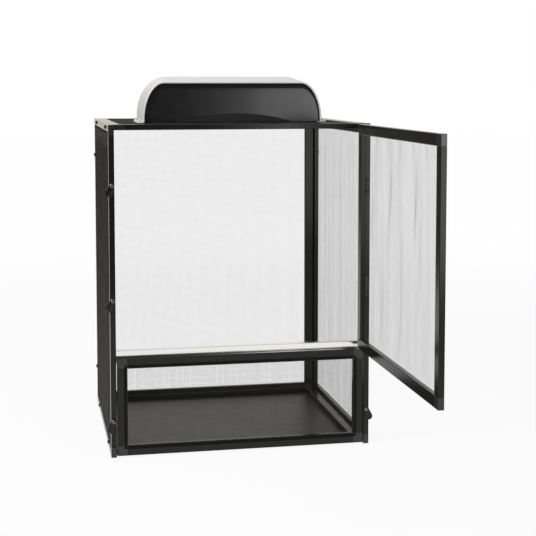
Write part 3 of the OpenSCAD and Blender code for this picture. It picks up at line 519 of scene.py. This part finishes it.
shape = bmesh.new()
rings = []
for inset, y in rim_section:
    rings.append([shape.verts.new((x, y, z)) for x, z in hood_outline(y, inset, inset)])
for one, two in zip(rings, rings[1:] + rings[:1]):
    for k in range(len(one) - 1):
        shape.faces.new((one[k], one[k + 1], two[k + 1], two[k]))
for end in (0, -1):
    shape.faces.new([ring[end] for ring in rings])
bmesh.ops.recalc_face_normals(shape, faces=shape.faces)
hood_shell = make_piece("hood_shell_bent", shape, crease=math.radians(40))
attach(hood_shell, "light_hood")
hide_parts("hood_shell")
finish_piece(hood_shell, silver_paint)

# Hood panels: end panels moulded in gloss black ABS. The front one fills the shell's thin edge, has a flat
# bevel round its face and a shallow arch sunk into its lower edge, and carries the lamp on ledges inside. The
# polished mould leaves a mirror-like skin with fine wiping marks, and the arch is spark eroded and dull.
panel_rounding = 0.6 * mm
panel_gap = 0.3 * mm
face_edge = shell_wall + panel_gap
# Each ring of the front panel, from its back edge to its flat face: inset at the top, inset at the sides and
# depth, in mm.
face_rings = [(0.0, 0.0, 6.0), (0.0, 0.0, 1.3), (0.25, 0.25, 1.02), (0.6, 0.6, 0.95), (7.4, 2.2, 0.12),
              (8.0, 2.7, 0.07), (20.0, 12.0, 0.05)]
arch_half = 94.5 * mm
arch_high = 12.5 * mm
arch_r = (arch_half ** 2 + arch_high ** 2) / (2 * arch_high)
arch_sweep = math.asin(arch_half / arch_r)
# Each ring of the arch, from the flat face to its floor: how far it stands above the arch, and its depth,
# in mm.
arch_rings = [(1.3, 0.05), (0.0, 0.75), (0.0, 1.35)]
ledge_half = 125 * mm
ledge_depth = 5 * mm
ledge_thick = 2 * mm
ledge_middle = 7.5 * mm
wipe_size = 14 * mm
erosion_size = 0.6 * mm
panel_black = linear("#0c0c0e")
panel_wiped = linear("#17171a")

gloss_abs, tree, surface, place = start_material("gloss_black_abs", IOR=1.53, Specular_IOR_Level=0.42,
                                                 Coat_Weight=0.1, Coat_Roughness=0.08)
wipe = add_node(tree, "TexNoise", {"Vector": place, "Scale": 1 / wipe_size, "Detail": 5.0})
add_node(tree, "Mix", {0: wipe, 6: panel_black, 7: panel_wiped}, surface["Base Color"], data_type="RGBA")
add_node(tree, "MapRange", {"Value": wipe, "To Min": 0.16, "To Max": 0.26}, surface["Roughness"])

eroded_abs, tree, surface, place = start_material("eroded_black_abs", Roughness=0.62, IOR=1.53)
pits = add_node(tree, "TexNoise", {"Vector": place, "Scale": 1 / erosion_size, "Detail": 2.0})
add_node(tree, "Mix", {0: pits, 6: panel_black, 7: panel_wiped}, surface["Base Color"], data_type="RGBA")
add_node(tree, "Bump", {"Height": pits, "Distance": 0.1 * mm, "Strength": 0.5}, surface["Normal"])

back_panel = soften("hood_back_panel", "hood_back_panel_moulded", panel_rounding, shortest=2.5 * mm)
finish_piece(back_panel, gloss_abs)

face_lines = []
for inset, side_inset, depth in face_rings:
    outline = hood_outline(front + depth * mm, face_edge + inset * mm, face_edge + side_inset * mm)
    face_lines.append([(x, depth, z) for x, z in outline])
last = len(face_lines[0]) - 1
for grow, depth in arch_rings:
    line = []
    for k in range(last + 1):
        angle = arch_sweep * (2 * k / last - 1)
        rise = max(0.0, arch_high - arch_r * (1 - math.cos(angle))) + grow * mm * math.sin(math.pi * k / last)
        line.append((arch_r * math.sin(angle), depth, hood_low.z + rise))
    face_lines.append(line)
shape = bmesh.new()
rings = [[shape.verts.new((x, front + depth * mm, z)) for x, depth, z in line] for line in face_lines]
shape.faces.new(rings[-1])
shape.faces.new(rings[0])
shape.faces.new([ring[0] for ring in rings] + [ring[-1] for ring in reversed(rings)])
for one, two in zip(rings, rings[1:]):
    for k in range(last):
        shape.faces.new((one[k], one[k + 1], two[k + 1], two[k]))
for under in ("hood_diffuser", "hood_reflector"):
    ledge_place = Matrix.Translation((0, front + ledge_middle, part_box(under)[0].z - ledge_thick / 2))
    ledge_size = Matrix.Diagonal((2 * ledge_half, ledge_depth, ledge_thick, 1))
    bmesh.ops.create_cube(shape, matrix=ledge_place @ ledge_size)
bmesh.ops.recalc_face_normals(shape, faces=shape.faces)
front_face = make_piece("hood_front_panel_moulded", shape, crease=math.radians(25))
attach(front_face, "light_hood")
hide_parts("hood_front_panel")
finish_piece(front_face, gloss_abs)
# The first face that was made is the floor of the arch.
front_face.data.materials.append(eroded_abs)
front_face.data.polygons[0].material_index = 1

# Hood feet: four small clips moulded in white ABS and pushed onto the shell's bottom edge. They keep the warm
# shell off the mesh, and are smooth and satin, with a slight yellowing from the lamp's heat.
foot_rounding = 0.4 * mm
yellowing_size = 6 * mm
white_clean = linear("#f2f2f0")
white_aged = linear("#e6e5e0")

white_abs, tree, surface, place = start_material("white_abs", Roughness=0.4, IOR=1.53)
age = add_node(tree, "TexNoise", {"Vector": place, "Scale": 1 / yellowing_size, "Detail": 3.0})
add_node(tree, "Mix", {0: age, 6: white_clean, 7: white_aged}, surface["Base Color"], data_type="RGBA")

feet = soften("hood_feet", "hood_feet_moulded", foot_rounding, shortest=1.2 * mm)
finish_piece(feet, white_abs)

# Lamp: a folded white enamelled reflector carries a board with two rows of LEDs over a frosted acrylic sheet.
# Enamel is smooth and slightly glossy, the board's solder mask is satin with faint tracks, the LEDs' phosphor
# is amber resin, and the frosted sheet lets light through softly.
enamel_cloud = 20 * mm
track_width = 0.4 * mm
track_length = 26 * mm
track_pitch = 6 * mm
phosphor_grain = 1 * mm
frost_size = 0.8 * mm
enamel_white = linear("#f4f4f0")
enamel_cream = linear("#e9e8e1")
mask_white = linear("#e9ece6")
mask_shade = linear("#d5dad2")
phosphor_light = linear("#e8c95a")
phosphor_dark = linear("#c99a2e")
frost_clear = linear("#f5f8f9")
frost_cloud = linear("#e4eaec")

enamel, tree, surface, place = start_material("white_enamel", Roughness=0.3, IOR=1.5)
cloud = add_node(tree, "TexNoise", {"Vector": place, "Scale": 1 / enamel_cloud, "Detail": 3.0})
add_node(tree, "Mix", {0: cloud, 6: enamel_white, 7: enamel_cream}, surface["Base Color"], data_type="RGBA")
dress(enamel, "hood_reflector")

solder_mask, tree, surface, place = start_material("white_solder_mask", Roughness=0.45, IOR=1.5)
tracks = {"Vector": place, "Scale": 1.0, "Mortar Size": track_width, "Brick Width": track_length,
          "Row Height": track_pitch, "Color1": mask_white, "Color2": mask_white, "Mortar": mask_shade}
add_node(tree, "TexBrick", tracks, surface["Base Color"])
dress(solder_mask, "hood_led_board")

phosphor, tree, surface, place = start_material("phosphor_resin", Roughness=0.25, IOR=1.5)
grain = add_node(tree, "TexNoise", {"Vector": place, "Scale": 1 / phosphor_grain, "Detail": 3.0})
add_node(tree, "Mix", {0: grain, 6: phosphor_light, 7: phosphor_dark}, surface["Base Color"],
         data_type="RGBA")
dress(phosphor, "hood_leds")

frosted_acrylic, tree, surface, place = start_material("frosted_acrylic", IOR=1.49, Transmission_Weight=0.7)
frost = add_node(tree, "TexNoise", {"Vector": place, "Scale": 1 / frost_size, "Detail": 2.0})
add_node(tree, "Mix", {0: frost, 6: frost_clear, 7: frost_cloud}, surface["Base Color"], data_type="RGBA")
add_node(tree, "MapRange", {"Value": frost, "To Min": 0.35, "To Max": 0.55}, surface["Roughness"])
dress(frosted_acrylic, "hood_diffuser")

# Cord grommet: a ring of moulded rubber pressed into the hole for the cord in the hood's back panel.
# Moulded rubber is dull and nearly black, with a faint grey bloom.
rubber_bloom_size = 3 * mm
rubber_black = linear("#131313")
rubber_grey = linear("#232322")

moulded_rubber, tree, surface, place = start_material("moulded_rubber", Roughness=0.75,
                                                      Specular_IOR_Level=0.3)
bloom = add_node(tree, "TexNoise", {"Vector": place, "Scale": 1 / rubber_bloom_size, "Detail": 3.0})
add_node(tree, "Mix", {0: bloom, 6: rubber_black, 7: rubber_grey}, surface["Base Color"], data_type="RGBA")
dress(moulded_rubber, "hood_grommet")

# Studio floor: a wide white sheet that keeps the shadow near the cage and fades into a white surround.
# What mirrors on the cage is white paper on a dark floor: a strip that widens to the back and the front, and
# a round patch about the cage.
floor_half = 12.0
floor_drop = 0.2 * mm
floor_white = linear("#f6f6f5")
shadow_reach = 0.9
white_reach = 2.4
white_near = 0.91
white_far = 0.99
paper_half = 0.1
paper_widens_back = 0.12
paper_widens_front = 0.5
paper_front = -1.4
paper_round = 1.2
paper_fade = 0.25
dark_floor = 0.05

studio_floor, tree, surface, place = start_material("studio_floor", Base_Color=floor_white, Roughness=0.9,
                                                    Specular_IOR_Level=0.1)
lit = tree.nodes["Principled BSDF"].outputs[0]
path = add_node(tree, "LightPath").node.outputs
distance = add_node(tree, "VectorMath", {0: place}, operation="LENGTH")
far = add_node(tree, "MapRange", {"Value": distance, "From Min": shadow_reach, "From Max": white_reach},
               interpolation_type="SMOOTHSTEP")
share = add_node(tree, "MapRange", {"Value": far, "To Min": white_near, "To Max": white_far})
seen = add_node(tree, "Math", {0: path["Is Camera Ray"], 1: path["Is Glossy Ray"]}, operation="MAXIMUM")
seen = add_node(tree, "Math", {0: seen, 1: path["Is Transmission Ray"]}, operation="MAXIMUM")
share = add_node(tree, "Math", {0: seen, 1: share}, operation="MULTIPLY")
white = add_node(tree, "Emission", {"Strength": 1.0})
paper = add_node(tree, "MixShader", {0: share, 1: lit, 2: white})

spot = add_node(tree, "SeparateXYZ", {0: place}).node.outputs
sideways = add_node(tree, "Math", {0: spot["X"]}, operation="ABSOLUTE")
rear_edge = {0: spot["Y"], 1: paper_widens_back, 2: paper_half}
rear_edge = add_node(tree, "Math", rear_edge, operation="MULTIPLY_ADD")
front_edge = {0: spot["Y"], 1: -paper_widens_front, 2: paper_half}
front_edge = add_node(tree, "Math", front_edge, operation="MULTIPLY_ADD")
side_edge = add_node(tree, "Math", {0: rear_edge, 1: front_edge}, operation="MAXIMUM")
beside = add_node(tree, "Math", {0: sideways, 1: side_edge}, operation="SUBTRACT")
before = add_node(tree, "Math", {0: paper_front, 1: spot["Y"]}, operation="SUBTRACT")
off_strip = add_node(tree, "Math", {0: beside, 1: before}, operation="MAXIMUM")
off_patch = add_node(tree, "Math", {0: distance, 1: paper_round}, operation="SUBTRACT")
beyond = add_node(tree, "Math", {0: off_strip, 1: off_patch}, operation="MINIMUM")
off_paper = add_node(tree, "MapRange", {"Value": beyond, "From Min": 0.0, "From Max": paper_fade},
                     interpolation_type="SMOOTHSTEP")
off_paper = add_node(tree, "Math", {0: off_paper, 1: path["Is Glossy Ray"]}, operation="MULTIPLY")
unlit = add_node(tree, "Emission", {"Strength": dark_floor})
output = tree.nodes["Material Output"].inputs["Surface"]
add_node(tree, "MixShader", {0: off_paper, 1: paper, 2: unlit}, output)

mesh = bpy.data.meshes.new("studio_floor")
corners = [(x * floor_half, y * floor_half, 0) for x, y in ((-1, -1), (1, -1), (1, 1), (-1, 1))]
mesh.from_pydata(corners, [], [(0, 1, 2, 3)])
mesh.materials.append(studio_floor)
floor = bpy.data.objects.new("studio_floor", mesh)
floor.location.z = -floor_drop
bpy.context.collection.objects.link(floor)

# Studio walls and lamps: the surround is white to the eye and gives a weak even glow. What mirrors on the
# cage is a cream wall behind it in a dim room. A strong soft lamp stands at the left, a small weak one at the
# right before the cage, and a broad one hangs overhead.
wall_cream = linear("#fffbf0")
room_white = linear("#ffffff")
wall_left = -0.24
wall_left_full = -0.14
wall_ahead = 0.2
wall_ahead_full = 0.5
dim_room = 0.1
room_glow = 0.32

world = bpy.data.worlds.new("studio")
bpy.context.scene.world = world
world.use_nodes = True
tree = world.node_tree
surround = tree.nodes["Background"].inputs
path = add_node(tree, "LightPath").node.outputs
way = add_node(tree, "TexCoord").node.outputs["Generated"]
way = add_node(tree, "SeparateXYZ", {0: way}).node.outputs
rightward = {"Value": way["X"], "From Min": wall_left, "From Max": wall_left_full}
rightward = add_node(tree, "MapRange", rightward, interpolation_type="SMOOTHSTEP")
rearward = {"Value": way["Y"], "From Min": wall_ahead, "From Max": wall_ahead_full}
rearward = add_node(tree, "MapRange", rearward, interpolation_type="SMOOTHSTEP")
wall = add_node(tree, "Math", {0: rightward, 1: rearward}, operation="MULTIPLY")
wall = add_node(tree, "MapRange", {"Value": wall, "To Min": dim_room, "To Max": 1.0})
mirrored = add_node(tree, "Math", {0: path["Is Glossy Ray"], 1: wall}, operation="MULTIPLY")
seen = add_node(tree, "Math", {0: path["Is Camera Ray"], 1: path["Is Transmission Ray"]}, operation="MAXIMUM")
seen = add_node(tree, "Math", {0: seen, 1: mirrored}, operation="MAXIMUM")
glow = add_node(tree, "Math", {0: path["Is Diffuse Ray"], 1: room_glow}, operation="MULTIPLY")
add_node(tree, "Math", {0: seen, 1: glow}, surround["Strength"], operation="MAXIMUM")
add_node(tree, "Mix", {0: path["Is Glossy Ray"], 6: room_white, 7: wall_cream}, surround["Color"],
         data_type="RGBA")

for name, place_at, aim_at, width, height, watts in (
        ("softbox_right", (0.8, -2.3, 0.42), (0, 0, 0.4), 0.7, 0.8, 6.5),
        ("softbox_left", (-1.7, -0.8, 1.6), (0, 0, 0.45), 1.2, 1.2, 30),
        ("softbox_top", (0.0, -0.4, 2.4), (0, 0, 0.2), 2.0, 1.6, 9)):
    lamp = bpy.data.lights.new(name, "AREA")
    lamp.shape = "RECTANGLE"
    lamp.size = width
    lamp.size_y = height
    lamp.energy = watts
    softbox = bpy.data.objects.new(name, lamp)
    softbox.location = place_at
    softbox.rotation_euler = (Vector(aim_at) - Vector(place_at)).to_track_quat("-Z", "Y").to_euler()
    bpy.context.collection.objects.link(softbox)

bpy.context.scene.view_settings.view_transform = "Standard"
